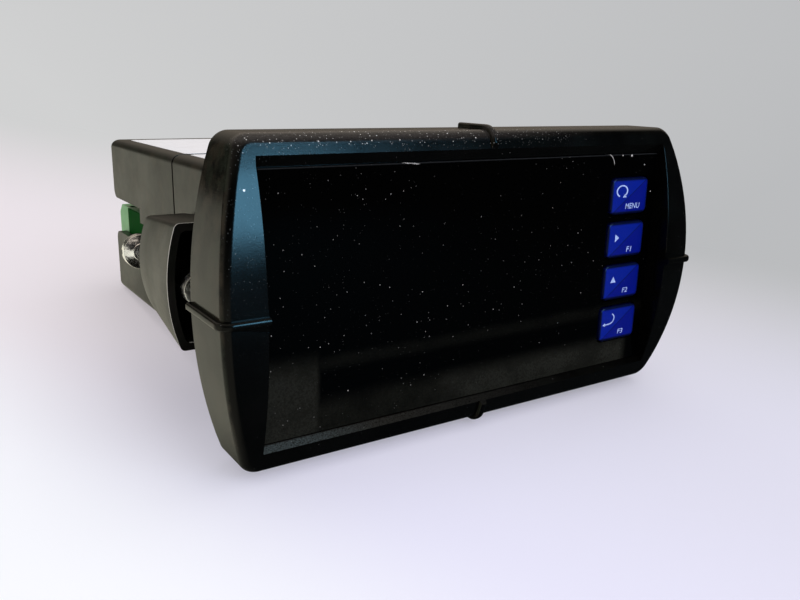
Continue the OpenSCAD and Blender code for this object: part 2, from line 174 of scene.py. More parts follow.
def combine(piece, tool, how="DIFFERENCE"):
    """Cuts, joins or crosses a piece with a second one, which is used up."""
    enlarge(1000, piece, tool)
    apply_modifier(piece, "BOOLEAN", operation=how, object=tool, solver="EXACT")
    enlarge(0.001, piece)
    bpy.data.objects.remove(tool)
    return piece


def smooth(piece, angle=30):
    """Shades a piece smooth except across its creases, with flat faces kept flat."""
    choose(piece)
    bpy.ops.object.shade_smooth_by_angle(angle=math.radians(angle))
    return apply_modifier(piece, "WEIGHTED_NORMAL", keep_sharp=True)


def coat(piece, finish):
    """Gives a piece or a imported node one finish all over."""
    piece.data.materials.clear()
    piece.data.materials.append(finish)


def dress(piece, body, finish, slot, *replaced):
    """Gives a piece its finish, the body it rides on and the nodes it stands for."""
    coat(piece, finish)
    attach(piece, body)
    if replaced:
        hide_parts(*replaced)
    print(piece.name, "has", len(piece.data.polygons), "faces")
    return piece


# %% [markdown]
# ## Finishes
#
# A finish is a small recipe of nodes. Written out by hand each one takes pages, so one class wraps a
# socket, and Python's own arithmetic adds the Math nodes. Every other node comes from one method.

# %% A class for shader arithmetic


class Wire:
    """A value in a finish, which can be added, multiplied and compared."""

    def __init__(self, finish, socket):
        self.finish, self.socket = finish, socket

    def math(self, operation, *values):
        return self.finish.node("ShaderNodeMath", {"operation": operation}, *values)

    def __add__(self, other):
        return self.math("ADD", self, other)

    def __sub__(self, other):
        return self.math("SUBTRACT", self, other)

    def __mul__(self, other):
        return self.math("MULTIPLY", self, other)

    def __truediv__(self, other):
        return self.math("DIVIDE", self, other)

    def __rsub__(self, other):
        return self.math("SUBTRACT", other, self)

    def __abs__(self):
        return self.math("ABSOLUTE", self)

    __radd__ = __add__
    __rmul__ = __mul__

    def above(self, edge, blur):
        """0 below an edge and 1 above it, with a soft step between."""
        settings = {"interpolation_type": "SMOOTHSTEP", "clamp": True}
        return self.finish.node("ShaderNodeMapRange", settings, self, edge - blur, edge + blur, 0, 1)

    def below(self, edge, blur):
        return 1 - self.above(edge, blur)

    def most(self, other):
        return self.math("MAXIMUM", self, other)

    def least(self, other):
        return self.math("MINIMUM", self, other)

    def square(self):
        return self * self

    def sign(self):
        return self.math("SIGN", self)

    def past_whole(self):
        """How far the value is past the nearest whole number, from -0.5 to 0.5."""
        return self - self.math("ROUND", self)


class Finish:
    """A material built in code. Its surface is a Principled BSDF."""

    def __init__(self, name, colour, roughness, **fixed):
        self.material = bpy.data.materials.new(name)
        self.material.use_nodes = True
        self.tree = self.material.node_tree
        self.shader = self.tree.nodes["Principled BSDF"]
        self.shader.inputs["Base Color"].default_value = (*colour, 1)
        self.shader.inputs["Roughness"].default_value = roughness
        for key, value in fixed.items():
            self.shader.inputs[key.replace("_", " ")].default_value = value
        self.place = None

    def node(self, kind, settings, *values, out=0, **named):
        """Adds a node, with its settings made first, then its sockets by place or by name."""
        node = self.tree.nodes.new(kind)
        for key, value in settings.items():
            setattr(node, key, value)
        pairs = list(enumerate(values)) + [(k.replace("_", " "), v) for k, v in named.items()]
        for key, value in pairs:
            if isinstance(value, Wire):
                self.tree.links.new(value.socket, node.inputs[key])
            elif value is not None:
                node.inputs[key].default_value = value
        return Wire(self, node.outputs[out])

    def coordinates(self):
        """The place on the object, in metres, from one node that everything shares."""
        if self.place is None:
            self.place = self.node("ShaderNodeTexCoord", {}, out="Object")
        return self.place

    def axes(self):
        """The same place as three separate numbers, in millimetres."""
        scaled = self.node("ShaderNodeVectorMath", {"operation": "SCALE"}, self.coordinates(), Scale=1000)
        return self.split(scaled)

    def split(self, vector):
        """The three parts of a vector."""
        parts = self.node("ShaderNodeSeparateXYZ", {}, vector)
        return [Wire(self, output) for output in parts.socket.node.outputs]

    def squeeze(self, x=1, y=1, z=1):
        """The place, stretched along each axis, for streaks."""
        return self.node("ShaderNodeMapping", {}, self.coordinates(), Scale=(x, y, z))

    def noise(self, size, detail=2, roughness=0.5, place=None):
        """Cloudy noise whose blots are about a size across, in millimetres."""
        place = place or self.coordinates()
        scale = 1 / (size * mm)
        return self.node(
            "ShaderNodeTexNoise", {}, Vector=place, Scale=scale, Detail=detail, Roughness=roughness
        )

    def specks(self, size, share, radius):
        """Sparse round specks. Only a share of the cells, each of a size in millimetres, holds one."""
        place, scale = self.coordinates(), 1 / (size * mm)
        cell = self.node("ShaderNodeTexVoronoi", {}, Vector=place, Scale=scale, Randomness=1.0)
        tone = self.node("ShaderNodeSeparateColor", {}, Wire(self, cell.socket.node.outputs["Color"]))
        grow, bright = (Wire(self, tone.socket.node.outputs[i]) for i in (1, 2))
        held = tone.below(share, 0.001)
        inside = (radius * (grow * 0.7 + 0.3) - cell).above(0.005, 0.012)
        return held * (bright.square() * 0.85 + 0.15) * inside

    def mix(self, share, first, second):
        """From the first colour to the second."""
        first, second = ((*c, 1) if isinstance(c, tuple) and len(c) == 3 else c for c in (first, second))
        node = self.tree.nodes.new("ShaderNodeMix")
        node.data_type = "RGBA"
        for key, value in ((0, share), (6, first), (7, second)):
            if isinstance(value, Wire):
                self.tree.links.new(value.socket, node.inputs[key])
            else:
                node.inputs[key].default_value = value
        return Wire(self, node.outputs[2])

    def paint(self, **sockets):
        """Joins values to the shader's own sockets."""
        for key, value in sockets.items():
            self.tree.links.new(value.socket, self.shader.inputs[key.replace("_", " ")])

    def bump(self, height, distance):
        """A fine relief, its depth given in millimetres."""
        wire = self.node("ShaderNodeBump", {}, Strength=1.0, Distance=distance * mm, Height=height)
        self.paint(Normal=wire)


# %% [markdown]
# The moulded black plastic has a fine spark-eroded grain, so it is never a mirror. Years on a shelf
# have left their marks on it. All of it has a thin grey film, thickest where it faces up, pale specks,
# short scratches, and a faint brown and olive mottle on its sides.
#
# Two parts have more. On the bezel, grit lies on the crown, powder on the left end and a dry film on
# the sill below the window, whose left end also has a painted blue reflection. The hoods' lips have a
# painted pale highlight, and painted shade lies inside them.

# %% Dust and a painted reflection on the bezel, painted highlight and shade on the hoods


def bezel_dust_and_sheen(finish, base, cloud, fine, facing_up):
    """Adds the bezel's grit, powder, film and one white flake to its colour, and a painted blue reflection
    at the sill's left end.
    """
    x, y, z = finish.axes()
    face = y.below(-9, 0.6)
    crown = z.above(28.2, 1.0) * y.below(-8.6, 0.6) * x.below(5, 30)
    bloom = crown * z.above(29.6, 0.8) * (fine * 1.5 - 0.2)
    base = finish.mix(bloom * 0.3, base, (0.17, 0.15, 0.135))
    grit = finish.specks(0.5, 0.85, 0.24) + finish.specks(0.8, 0.75, 0.2) * 1.8
    grit = (grit + finish.specks(1.5, 0.6, 0.12) * 2) * crown * (cloud.above(0.4, 0.15) * 0.7 + 0.3)
    base = finish.mix(grit.least(1.0) * 0.8, base, (0.62, 0.60, 0.56))
    powder = finish.specks(0.42, 0.8, 0.24) * x.below(-48, 3) * face * z.above(4, 14)
    base = finish.mix(powder * 0.16, base, (0.5, 0.55, 0.55))
    sill_film_and_sheen = facing_up.above(0.5, 0.1) * z.below(-25.5, 0.15) * y.below(-9, 0.5) * (fine * 2.6 - 0.8)
    base = finish.mix(sill_film_and_sheen * x.below(2, 30) * 0.10, base, (0.20, 0.20, 0.17))
    # painted reflection of the window's blue light on the left end of the sill
    base = finish.mix(sill_film_and_sheen * x.below(-36, 12) * 0.17, base, (0.17, 0.27, 0.30))
    flake = ((x + 54).square() + (z - 22).square()).below(0.04, 0.03) * y.below(-12, 0.2)
    return finish.mix(flake, base, (0.8, 0.9, 0.95))


def hood_highlight_and_shade(finish, base, rough, lip, fine, facing_x, facing_y):
    """Paints shade inside a hood and a pale highlight along its lip, and gives the new colour and
    roughness.
    """
    x, y, z = finish.axes()
    # painted shade: the hood's inward faces are painted black
    shade_inside = (facing_x * x.sign()).below(-0.3, 0.1)
    base = finish.mix(shade_inside, base, (0.0, 0.0, 0.0))
    # painted highlight: the rounded lip is painted pale
    lip_highlight = y.below(lip + 0.45, 0.12) * facing_y.above(-0.93, 0.05) * (fine * 1.2 + 0.2)
    base = finish.mix(lip_highlight * (1 - shade_inside), base, (0.62, 0.61, 0.56))
    return base, rough.most(shade_inside)


# %% Black plastic


def black_plastic(name, colour, roughness, film, dust, grain, ledge=False, lip=None, stain=1.0):
    """A black moulding. A ledge gathers dust and a painted reflection as the bezel does. A lip at a place
    along Y gets a painted pale highlight and painted shade inside.
    """
    finish = Finish(name, colour, roughness, IOR=1.18 if ledge else 1.24)
    cloud = finish.noise(14, 4, 0.6)
    fine = finish.noise(0.28, 3, 0.6)
    streak = finish.noise(1, 3, 0.7, finish.squeeze(0.5, 0.16, 3))
    normal = finish.node("ShaderNodeNewGeometry", {}, out="Normal")
    facing_x, facing_y, facing_up = finish.split(normal)
    settled = facing_up.above(0.3, 0.5) * 0.6 + 0.4
    dusty = cloud.above(0.5, 0.22) * settled * film * (fine * 0.8 + 0.6)
    scratches = streak.above(0.73, 0.03) * cloud.above(0.52, 0.05) * 0.35
    soil = dusty.most(scratches * film)
    tint = finish.mix(finish.noise(5, 3, 0.6).above(0.5, 0.12), (0.13, 0.145, 0.10), (0.165, 0.14, 0.12))
    base = finish.mix(soil, colour, tint)
    dots = finish.specks(1.9, dust, 0.06) + finish.specks(0.8, dust * 0.7, 0.1) * 0.5
    dots = dots * (cloud.above(0.47, 0.12) * 0.8 + 0.2)
    base = finish.mix(dots.least(1.0) * 0.7, base, (0.6, 0.58, 0.54))
    if ledge:
        base = bezel_dust_and_sheen(finish, base, cloud, fine, facing_up)
    x, y, z = finish.axes()
    aside = (facing_x * x.sign()).above(0.8, 0.12)
    brown = finish.noise(6, 4, 0.65).above(0.52, 0.1)
    olive = finish.noise(4.4, 4, 0.65).above(0.53, 0.1)
    base = finish.mix(aside * brown * stain, base, (0.021, 0.017, 0.011))
    base = finish.mix(aside * olive * stain * 0.8, base, (0.012, 0.0145, 0.009))
    rough = roughness + cloud * 0.22 - 0.11 + soil * 0.4
    if ledge:
        rough = rough * (1 - aside * 0.4)
    if lip is not None:
        base, rough = hood_highlight_and_shade(finish, base, rough, lip, fine, facing_x, facing_y)
    finish.paint(Base_Color=base, Roughness=rough)
    finish.bump(fine * 0.7 + streak * 0.3, grain)
    return finish.material


bezel_plastic = black_plastic(
    "bezel_plastic", (0.0008, 0.0008, 0.0007), 0.2, film=0.015, dust=0.4, grain=0.012, ledge=True
)
case_plastic = black_plastic(
    "case_plastic", (0.003, 0.003, 0.0025), 0.34, film=0.1, dust=0.12, grain=0.008
)
bracket_plastic = black_plastic(
    "bracket_plastic", (0.002, 0.002, 0.0017), 0.36, film=0.1, dust=0.1, grain=0.01, lip=12.0
)
gasket_rubber = black_plastic(
    "gasket_rubber", (0.006, 0.006, 0.006), 0.75, film=0.3, dust=0.1, grain=0.012, stain=0.0
)
print("black plastics mixed")

# %% [markdown]
# ## The camera
#
# The camera stands close, in front of the meter and to its left, so the far end looks much smaller
# than the near end. It is a little higher than the top of the bezel and tips down.

# %% Camera
camera_data = bpy.data.cameras.new("camera")
camera_data.sensor_width = 36
camera_data.lens = 35.36
camera_data.clip_start, camera_data.clip_end = 0.005, 20
camera = bpy.data.objects.new("camera", camera_data)
bpy.context.scene.collection.objects.link(camera)
turn_right, tip_down, lean = 33.61, 15.18, 1.318
camera.matrix_world = (
    Matrix.Translation(Vector((-103.5, -134.8, 38.9)) * mm)
    @ Matrix.Rotation(math.radians(-turn_right), 4, "Z")
    @ Matrix.Rotation(math.radians(90 - tip_down), 4, "X")
    @ Matrix.Rotation(math.radians(lean), 4, "Z")
)
bpy.context.scene.camera = camera

# %% [markdown]
# ## The stage
#
# The meter rests on the lower edge of its bezel and the lower rear edge of its case, so it leans back
# by about five degrees. The model keeps its own frame, so here the floor leans instead.

# %% Floor, lamps and sky
bezel_low, bezel_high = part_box("bezel")
case_low, case_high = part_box("rear_case")
heel = 2 * mm
front_foot = Vector((0, bezel_high.y, bezel_low.z))
rear_foot = Vector((0, case_high.y - heel, case_low.z))
lean_back = math.atan2(rear_foot.z - front_foot.z, rear_foot.y - front_foot.y)
print("the meter leans back by", round(math.degrees(lean_back), 2), "degrees")

up = Matrix.Rotation(lean_back, 3, "X") @ Vector((0, 0, 1))
floor_place = front_foot - up * 0.05 * mm
choose_none()
bpy.ops.mesh.primitive_plane_add(size=12, location=floor_place, rotation=(lean_back, 0, 0))
floor = settle("floor")


def lamp(name, place, aim, size, power, colour):
    """A soft rectangular lamp that points at a place. Its sizes are in millimetres, its power in watts."""
    data = bpy.data.lights.new(name, "AREA")
    data.shape = "RECTANGLE"
    data.size, data.size_y = (s * mm for s in size)
    data.energy, data.color = power, colour
    light = bpy.data.objects.new(name, data)
    light.location = Vector(place) * mm
    light.rotation_euler = (Vector(aim) * mm - light.location).to_track_quat("-Z", "Y").to_euler()
    bpy.context.scene.collection.objects.link(light)
    return light


overhead = lamp("overhead", (200, -60, 900), (0, 30, 0), (900, 900), 3.6, (1.0, 0.98, 0.97))
overhead.visible_glossy = False
window = lamp("window", (222, -700, 240), (0, 0, 10), (270, 335), 10.6, (0.25, 0.67, 1.0))
window.visible_diffuse = False
fill = lamp("fill", (150, -600, 420), (0, 0, 0), (500, 400), 2.2, (0.80, 0.84, 1.0))
fill.visible_glossy = False


def rays(finish):
    """Which rays look from the camera or through glass, and which are mirrored by something glossy."""
    outputs = finish.node("ShaderNodeLightPath", {}).socket.node.outputs
    seen, mirrored, through_glass = (
        Wire(finish, outputs["Is " + kind + " Ray"]) for kind in ("Camera", "Glossy", "Transmission")
    )
    return seen.most(through_glass), mirrored


def lit_wall_tone(finish, x, y):
    """The backdrop is painted a little brighter on the left than on the right, where more light falls on
    it.
    """
    leftness = (y - x) / (abs(x) + abs(y) + 0.0001)
    return finish.mix(leftness * 0.77 + 0.31, (0.495, 0.503, 0.515), (0.635, 0.638, 0.64))


# %% [markdown]
# The floor is pale paper. Its tone is painted light: bluish in front, where the window's light falls,
# brightest at the front left and duller on the right, and far away it turns into the backdrop's. A part of
# it glows, so that it stays pale but keeps the shadow. What a glossy surface mirrors of it is set apart:
# warm at the back, and dark in front of the meter, where its shade lies.

# %% Floor finish
paper = Finish("floor_paper", (0.8, 0.78, 0.8), 0.75)
paper.shader.inputs["Specular IOR Level"].default_value = 0.2
x, y, z = paper.axes()
seen, mirrored = rays(paper)
far_away = (x + 0.5 * y).above(120, 110)
# painted light: the floor is bluish in front, brighter at the front left and duller on the right
tone = paper.mix(x.above(5, 50), (0.80, 0.79, 0.93), (0.71, 0.70, 0.80))
tone = paper.mix(y.above(30, 70), tone, (0.83, 0.775, 0.81))
tone = paper.mix((x + 0.35 * y).below(-68, 30), tone, (0.93, 0.94, 0.97))
tone = paper.mix(far_away, tone, lit_wall_tone(paper, x, y))
sheen = paper.mix(y.above(300, 200), (0.93, 0.91, 0.72), (0.72, 0.71, 0.57))
sheen = paper.mix(y.above(750, 350), sheen, (0.05, 0.045, 0.035))
in_shade = (y.below(12, 20) * x.above(-58, 8)).most(x.above(50, 20))
sheen = paper.mix(in_shade, sheen, (0.035, 0.04, 0.04))
tone = paper.mix(mirrored, tone, sheen)
paper.paint(Base_Color=tone)
glow = paper.node("ShaderNodeEmission", {}, tone, 1.0)
share = (far_away * 0.55 + 0.45) * seen + (far_away * 0.7 + 0.3) * mirrored
matt = Wire(paper, paper.shader.outputs[0])
surface = paper.node("ShaderNodeMixShader", {}, share, matt, glow)
paper.tree.links.new(surface.socket, paper.tree.nodes["Material Output"].inputs["Surface"])
coat(floor, paper.material)

# %% [markdown]
# The sky is three skies in one. The camera sees a plain backdrop, and matt surfaces get even light.
# Glossy surfaces mirror a room: dark in front, where only the window shines, dim behind, and pale and
# warm on the left and high up.

# %% Sky
world = bpy.data.worlds.new("studio")
world.use_nodes = True
bpy.context.scene.world = world


class Sky(Finish):
    """The same helpers on the world's nodes."""

    def __init__(self, world):
        self.material, self.tree, self.place = world, world.node_tree, None


sky = Sky(world)
facing = sky.node("ShaderNodeTexCoord", {}, out="Generated")
sx, sy, sz = sky.split(facing)
seen, mirrored = rays(sky)
behind_right = sx.above(0.1, 0.25) * sx.below(0.82, 0.12)
in_front = sy.below(-0.3, 0.3) * sz.below(0.66, 0.14)
front_right = sy.below(0.1, 0.2) * sx.above(0.2, 0.2) * sz.below(0.85, 0.08)
room = sky.mix(behind_right, (0.045, 0.045, 0.035), (0.30, 0.25, 0.20))
room = sky.mix(sx.below(-0.78, 0.2), room, (1.0, 0.90, 0.74))
room = sky.mix(sz.above(0.42, 0.22), room, (1.0, 0.88, 0.72))
room = sky.mix(in_front, room, (0.004, 0.005, 0.006))
room = sky.mix(front_right, room, (0.01, 0.01, 0.01))
light = sky.mix(mirrored, (0.66, 0.645, 0.66), room)
light = sky.mix(seen, light, lit_wall_tone(sky, sx, sy))
sky.tree.links.new(light.socket, sky.tree.nodes["Background"].inputs["Color"])
bpy.context.scene.view_settings.view_transform = "Standard"
print("stage set")

# %% [markdown]
# ## The bezel
#
# The front moulding looks simple and isn't. Seen from the front its sides bow out, seen from the side
# its face bows forward, every front edge is rounded, and a small rib runs over the middle of each
# side. A sheet of rows is bent to both bows, pulled back into a solid block and then rounded. The rows
# next to the top and bottom are wider than the rounding, which would otherwise fold over itself.

# %% The blank
rib = 1.0 * mm
side_bow, front_drop = 5.3 * mm, 5.4 * mm
corner, edge = 2.7 * mm, 1.7 * mm
half_w, half_h = bezel_high.x - rib, bezel_high.z - rib
front, rim = bezel_low.y + rib, bezel_high.y


def bow_radius(chord, rise):
    """The radius of the circle through the ends and the middle of a bow."""
    return (chord * chord / 4 + rise * rise) / (2 * rise)


side_r = bow_radius(2 * half_h, side_bow)
front_r = bow_radius(2 * half_h, front_drop)
print("the sides bow on a radius of", round(side_r / mm), "mm and the front on", round(front_r / mm), "mm")


def bowed_block(name, grow, back, flat_front=None):
    """The outline of the bezel, made larger or smaller all round, with a bowed or a flat front."""
    steps, last = 12, 5.2 * mm
    high = half_h + grow
    choose_none()
    bpy.ops.mesh.primitive_grid_add(x_subdivisions=1, y_subdivisions=2 * steps + 2, size=2)
    piece = settle(name)
    for point in piece.data.vertices:
        row = round(point.co.y * (steps + 1))
        z = math.copysign(high if abs(row) > steps else abs(row) / steps * (high - last), row)
        wide = half_w - side_r + math.sqrt((side_r + grow) ** 2 - z * z)
        y = front + front_r - math.sqrt((front_r + grow) ** 2 - z * z)
        point.co = (math.copysign(wide, point.co.x), y if flat_front is None else flat_front, z)
    pick(piece, "FACE", lambda face: True)
    bpy.ops.mesh.extrude_region_move()
    bpy.ops.transform.resize(value=(1, 0, 1), center_override=(0, back, 0))
    bpy.ops.mesh.select_all(action="SELECT")
    bpy.ops.mesh.normals_make_consistent(inside=False)
    return close(piece)


def blank(name, grow=0.0):
    """The solid front moulding, with its corners and its front edges rounded."""

    def runs_back(a, b):
        return abs(a.z - b.z) < 0.01 * mm and abs(a.x - b.x) < 0.01 * mm

    def at_front(a, b):
        return max(a.y, b.y) < rim - 4 * mm

    piece = bowed_block(name, grow, rim)
    round_edges(piece, corner + grow, runs_back, segments=10, sharp=60)
    return round_edges(piece, edge + grow, at_front, segments=8, sharp=30)


bezel = blank("bezel_moulding")
print("the bezel's blank has", len(bezel.data.vertices), "corners")

# %% [markdown]
# A rib is a thin slice of a second blank that is 1 mm larger all round. It stands out of the first one
# by that much everywhere, also round the rounded edges.

# %% The four ribs
flank, rib_edge = 0.75 * mm, 0.5 * mm
for axis in (0, 2):

    def beside_flank(a, b):
        return min(abs(a[axis]), abs(b[axis])) > flank - 0.001 * mm and min(a.y, b.y) < rim - 0.1 * mm

    slab = Vector((0.1, 0.1, 0.1))
    slab[axis] = flank
    ridge = combine(blank("rib", rib), block("slice", -slab, slab), "INTERSECT")
    combine(bezel, round_edges(ridge, rib_edge, beside_flank, segments=3, sharp=50), "UNION")
print("with its ribs it has", len(bezel.data.vertices), "corners")

# %% [markdown]
# The window sits in a recess. Its side walls are straight, and the walls above and below it slope,
# so that nothing hides the digits from a reader who stands higher or lower. A block whose front face
# is stretched up and down cuts all four walls at once. Behind it, plain blocks cut the seat of the
# window, the way through and a bay behind the two. Last comes the pocket that takes the case's flange,
# which has the bezel's own bowed outline.

# %% The recess and the hollows behind it
lens_low, lens_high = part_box("window_lens")
flange_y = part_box("front_case")[0].y
reach, slope_above, slope_below = 9 * mm, 1.83, 0.8
side, top = lens_high.x + 0.4 * mm, lens_high.z + 0.2 * mm


def round_recess(a, b):
    """The recess's edges: in front of its foot, inside the face, and away from the ribs."""
    in_front = max(a.y, b.y) < lens_low.y - 0.3 * mm
    in_width = max(abs(a.x), abs(b.x)) < side + 0.1 * mm
    in_height = max(abs(a.z), abs(b.z)) < top + 2.6 * mm
    off_ribs = min(abs(a.x), abs(b.x), abs(a.z), abs(b.z)) > 1.3 * mm
    return in_front and in_width and in_height and off_ribs


def hollow(name, half_width, start, half_height, end=0.0):
    """Cuts a plain block out of the bezel, as wide to the left as to the right."""
    combine(bezel, block(name, (-half_width, start, -half_height), (half_width, end, half_height)))


cutter = block("recess", (-side, lens_low.y - reach, -top), (side, lens_low.y, top))
for slope, way_up in ((slope_above, 1), (slope_below, -1)):

    def front_edge(edge):
        ends = [cutter.data.vertices[i].co for i in edge.vertices]
        return all(end.y < lens_low.y - mm and end.z * way_up > 0 for end in ends)

    pick(cutter, "EDGE", front_edge)
    bpy.ops.transform.translate(value=(0, 0, way_up * reach * slope))
    close(cutter)
combine(bezel, cutter)
round_edges(bezel, 0.22 * mm, round_recess, segments=3)
seat = lens_high + Vector((0.2, 0.001, 0.2)) * mm
hollow("seat", seat.x, lens_low.y - 0.1 * mm, seat.z, seat.y)
hollow("way", 49.3 * mm, lens_low.y - mm, 23.2 * mm)
hollow("bay", 50.4 * mm, -8.3 * mm, 26.4 * mm)
combine(bezel, bowed_block("pocket", -2.2 * mm, mm, flange_y))
smooth(bezel, 32)
dress(bezel, "meter", bezel_plastic, "case_black", "bezel")

# %% [markdown]
# ## Smooth copies
#
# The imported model's pieces are shaped rightly, but their faces are flat. Where a piece only needs a
# softer finish, a copy is merged into one skin, its coplanar triangles are dissolved, and its hard
# edges get a narrow bevel, which is what catches the light on a moulded or stamped part.

# %% A smooth copy of a node


def fair_copy(node, name, bevel, angle=30):
    """A copy of a node with merged corners, bevelled edges and smooth shading."""
    source = nodes[node]
    piece = source.copy()
    piece.data = source.data.copy()
    piece.name = piece.data.name = name
    piece.parent = None
    for key in list(piece.keys()):
        del piece[key]
    bpy.context.scene.collection.objects.link(piece)
    choose(piece)
    bpy.ops.object.mode_set(mode="EDIT")
    bpy.ops.mesh.select_all(action="SELECT")
    bpy.ops.mesh.remove_doubles(threshold=0.002 * mm)
    bpy.ops.mesh.dissolve_limited(angle_limit=math.radians(0.4))
    close(piece)
    apply_modifier(
        piece, "BEVEL", width=bevel * mm, segments=2, limit_method="ANGLE", angle_limit=math.radians(40)
    )
    return smooth(piece, angle)


# %% Case, brackets and gasket
joint, at_joint = 0.4 * mm, 0.45 * mm
front_case = fair_copy("front_case", "front_housing", 0.15)
dress(front_case, "meter", case_plastic, "case_black", "front_case")
rear_case = fair_copy("rear_case", "rear_housing", 0.25)
lip_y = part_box("front_case")[1].y
# the rear half's front edge moves back, so that a dark line shows where the two halves meet
pick(rear_case, "VERT", lambda corner: -0.02 * mm < corner.co.y - lip_y < at_joint)
bpy.ops.transform.translate(value=(0, joint, 0))
close(rear_case)
dress(rear_case, "meter", case_plastic, "case_black", "rear_case")
for hand in ("left", "right"):
    hood = fair_copy(hand + "_bracket", hand + "_hood", 0.25)
    dress(hood, hand + "_mount_bracket", bracket_plastic, "bracket_black", hand + "_bracket")
gasket = fair_copy("panel_gasket", "gasket", 0.2)
dress(gasket, "meter", gasket_rubber, "gasket_rubber", "panel_gasket")

# %% [markdown]
# ## The window
#
# The window is one sheet of deep black acrylic. Almost nothing inside shows through it, so its look
# comes from what lies on it: pale specks of dust, a few fibres, one of them curled, and a brownish film
# along its foot, where dust has settled on the ledge and crept up the glass. A thin pale line along its
# top edge is a painted highlight.

# %% Window finish
glass = Finish("window_acrylic", (0.0004, 0.0004, 0.0004), 0.06, IOR=1.46)
glass.shader.inputs["Specular IOR Level"].default_value = 0.035
x, y, z = glass.axes()
cloud = glass.noise(9, 4, 0.6)
patch = glass.noise(26, 3, 0.6)
fine = glass.noise(0.35, 3, 0.7)

# the film: along the foot, in a faint band above it and in the left corner
low = 0 - z
foot = low.above(19.5, 2.5) * (x + cloud * 3).below(47, 1.5) * (0.45 + (x + cloud * 6).above(-6, 8) * 0.55)
band = abs(low - 12.5 + cloud * 1.5).below(1.2, 1.0) * 0.2
corner_haze = low.above(11, 3) * (x + cloud * 1.5).below(-38.5, 0.8) * 0.9
film = foot.most(band).most(corner_haze) * (cloud.above(0.4, 0.3) * 0.7 + 0.3) * (fine * 1.2)

# the specks, thicker on the left
left = (patch + (0 - x) * 0.003).above(0.48, 0.12) * 0.85 + 0.15
dots = glass.specks(2.0, 0.7, 0.085) + glass.specks(1.1, 0.6, 0.1) * 0.45
dots = dots + glass.specks(0.6, 0.5, 0.12) * 0.14 + glass.specks(6.5, 0.35, 0.045)
fibres = glass.noise(1, 2, 0.5, glass.squeeze(0.35, 1, 1.6)).above(0.775, 0.003) * cloud.above(0.55, 0.05)

# the lint at the top: half a ring, a straight hair and five scraps, each at a place and of a size
curl_x, curl_z = x - 33.6, z - 22.6
ring_line = abs(curl_x.square() + curl_z.square() - 8.0).below(0.4, 0.35)
lint = ring_line * curl_z.above(0.4, 0.3) * curl_x.above(-0.6, 0.3)
hair_line = abs(z - 24.75 + (x + 19.5) * 0.1 - fine * 0.6).below(0.06, 0.06)
lint = lint.most(hair_line * abs(x + 19.4).below(1.9, 0.3))
scraps = (42.0, 24.8, 0.07), (39.0, 24.9, 0.025), (46.6, 22.6, 0.02), (49.7, 16.2, 0.02), (47.3, 8.3, 0.02)
for at_x, at_z, size in scraps:
    lint = lint.most(((x - at_x).square() + (z - at_z).square()).below(size, size * 0.5))

grime = (dots * left).least(1.0).most(fibres * 0.5).most(lint * 0.8)
# painted highlight: a thin pale line along the window's top edge
top_edge_highlight = abs(z - 25.05).below(0.12, 0.06) * 0.05 * (fine + 0.3)
colour = glass.mix(film * 0.16, (0.0004, 0.0004, 0.0004), (0.15, 0.15, 0.11))
colour = glass.mix(top_edge_highlight, colour, (0.3, 0.32, 0.33))
colour = glass.mix(grime * 0.75, colour, (0.75, 0.72, 0.66))
glass.paint(Base_Color=colour, Roughness=grime.most(film) * 0.5 + 0.05)
coat(nodes["window_lens"], glass.material)

# %% [markdown]
# ## The keys
#
# Each key is a rounded cap of blue plastic with a skirt behind the window that keeps it in. A thin
# dark line crosses every cap from corner to corner, with a sign above it and a word below. Each cap's
# shoulders are painted lighter as a highlight, and a dark band of painted shade runs round its rim.
# The caps stand one above the other at even steps, so one finish serves them all: it measures from the
# middle of the nearest cap.

# %% Key finish
key_nodes = ["menu_key", "right_key", "up_key", "enter_key"]
key_boxes = [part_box(name) for name in key_nodes]
key_centres = [(low + high) / 2 for low, high in key_boxes]
key_pitch = (key_centres[0].z - key_centres[1].z) / mm
key_front = key_boxes[0][0].y
skirt_x, skirt_z = 0.7, 0.35
key_size = (key_boxes[0][1] - key_boxes[0][0]) / mm
key_w, key_h = key_size.x - 2 * skirt_x, key_size.z - 2 * skirt_z
print("a key's cap is", round(key_w, 1), "by", round(key_h, 1), "mm")

blue = Finish("key_blue", (0.003, 0.02, 0.3), 0.3, IOR=1.25)
blue.shader.inputs["Specular IOR Level"].default_value = 0.3
x, y, z = blue.axes()
local_x = x - key_centres[0].x / mm
local_z = ((z - key_centres[0].z / mm) / key_pitch).past_whole() * key_pitch
diagonal = math.hypot(key_w, key_h)
across = (local_x * (key_h / diagonal) - local_z * (key_w / diagonal)) - 0.1
line = abs(across).below(0.13, 0.05)
past_side, past_top = abs(local_x) - key_w / 2, abs(local_z) - key_h / 2
# painted highlight: a lighter blue band near the cap's edges
shoulder_highlight = (past_side + 0.9).most(past_top + 0.9).above(0.45, 0.4)
# painted shade: a dark band round the rim, for the shadow in the gap round the cap
outline = past_side.most(past_top + 0.2).above(-0.5, 0.3)
grain = blue.noise(0.4, 3, 0.7)
dust = (blue.specks(1.1, 0.25, 0.09) + blue.specks(0.5, 0.2, 0.1) * 0.4).least(1.0)
tone = blue.mix(across.above(0, 0.1), (0.0003, 0.010, 0.23), (0.0002, 0.004, 0.18))
tone = blue.mix(line * 0.75, tone, (0.001, 0.004, 0.05))
tone = blue.mix(shoulder_highlight * 0.3, tone, (0.002, 0.04, 0.38))
tone = blue.mix((grain * 1.4 - 0.5) * 0.25, tone, (0.001, 0.008, 0.12))
tone = blue.mix(outline * 0.96, tone, (0.0002, 0.0006, 0.01))
tone = blue.mix(dust * 0.5, tone, (0.5, 0.55, 0.7))
blue.paint(Base_Color=tone, Roughness=blue.noise(4, 3, 0.6) * 0.2 + 0.22)
blue.bump(blue.noise(0.5, 2), 0.003)

